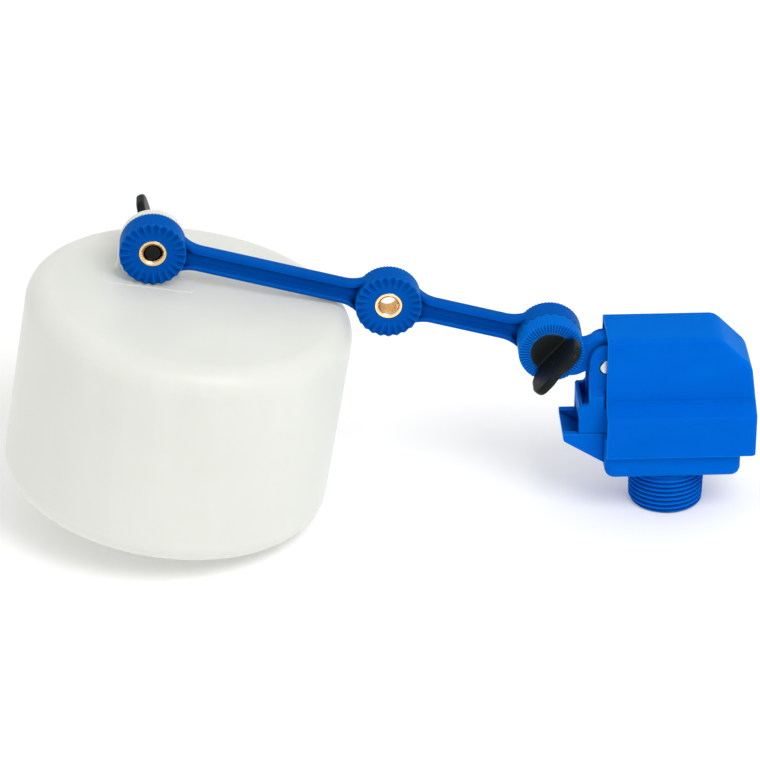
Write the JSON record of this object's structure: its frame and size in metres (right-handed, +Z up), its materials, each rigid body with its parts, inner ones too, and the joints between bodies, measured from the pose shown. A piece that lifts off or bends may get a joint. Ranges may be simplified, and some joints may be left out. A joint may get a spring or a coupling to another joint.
{
  "type": "float valve",
  "caption": "Side-mounted tank float valve: a threaded inlet body under a hood, a pivoting lever, a toothed adjustable arm and a hollow round float.",
  "frame": {"origin": "centre of the free end of the inlet thread", "axes": "+Z up along the inlet axis, from the thread's free end into the body; -X towards the arm and the float; every hinge axis is along +Y"},
  "size_m": [0.2599, 0.1128, 0.1094],
  "materials": {
    "valve_blue": "injection moulded, semi-matt",
    "arm_blue": "injection moulded, semi-matt",
    "brass": "turned",
    "black_nylon": "injection moulded, satin",
    "stainless_steel": "plain",
    "rubber": "matt",
    "acetal": "plain",
    "milky_plastic": "translucent blow-moulded polyethylene"
  },
  "bodies": {
    "valve": {"valve_body": "valve_blue", "hood_cover": "valve_blue", "seat_nozzle": "brass", "nozzle_o_ring": "rubber", "plunger_guide": "acetal", "guide_screw_left": "stainless_steel", "guide_screw_right": "stainless_steel", "pivot_pin": "stainless_steel", "pivot_pin_clip": "stainless_steel"},
    "lever": {"lever": "valve_blue"},
    "arm": {"float_arm": "arm_blue", "insert_lever_end": "brass", "insert_middle": "brass", "insert_float_end": "brass"},
    "float": {"float_shell": "milky_plastic", "float_plug": "acetal"},
    "lever_screw": {"wing_screw_lever": "black_nylon"},
    "float_screw": {"wing_screw_float": "black_nylon"},
    "plunger": {"plunger": "acetal", "plunger_o_ring": "rubber", "valve_washer": "rubber", "washer_screw": "stainless_steel"}
  },
  "joints": [
    {"name": "lever_pivot", "type": "hinge", "parent": "valve", "child": "lever", "pos_m": [-0.0225, 0, 0.056], "axis": [0, 1, 0], "range_deg": [0, 17]},
    {"name": "arm_joint", "type": "hinge", "parent": "lever", "child": "arm", "pos_m": [-0.0416, 0, 0.0608], "axis": [0, 1, 0], "range_deg": [0, 75]},
    {"name": "float_joint", "type": "hinge", "parent": "arm", "child": "float", "pos_m": [-0.17782, 0, 0.09796], "axis": [0, 1, 0], "range_deg": [0, 120]},
    {"name": "lever_screw_turn", "type": "hinge", "parent": "arm", "child": "lever_screw", "pos_m": [-0.0416, 0, 0.0608], "axis": [0, 1, 0], "continuous": true},
    {"name": "float_screw_turn", "type": "hinge", "parent": "arm", "child": "float_screw", "pos_m": [-0.17782, 0, 0.09796], "axis": [0, 1, 0], "continuous": true},
    {"name": "plunger_slide", "type": "slide", "parent": "valve", "child": "plunger", "axis": [0, 0, -1], "range_m": [0, 0.0066]}
  ],
  "couplings": [
    {"joint": "plunger_slide", "follows": "lever_pivot", "m_per_rad": 0.02218}
  ]
}
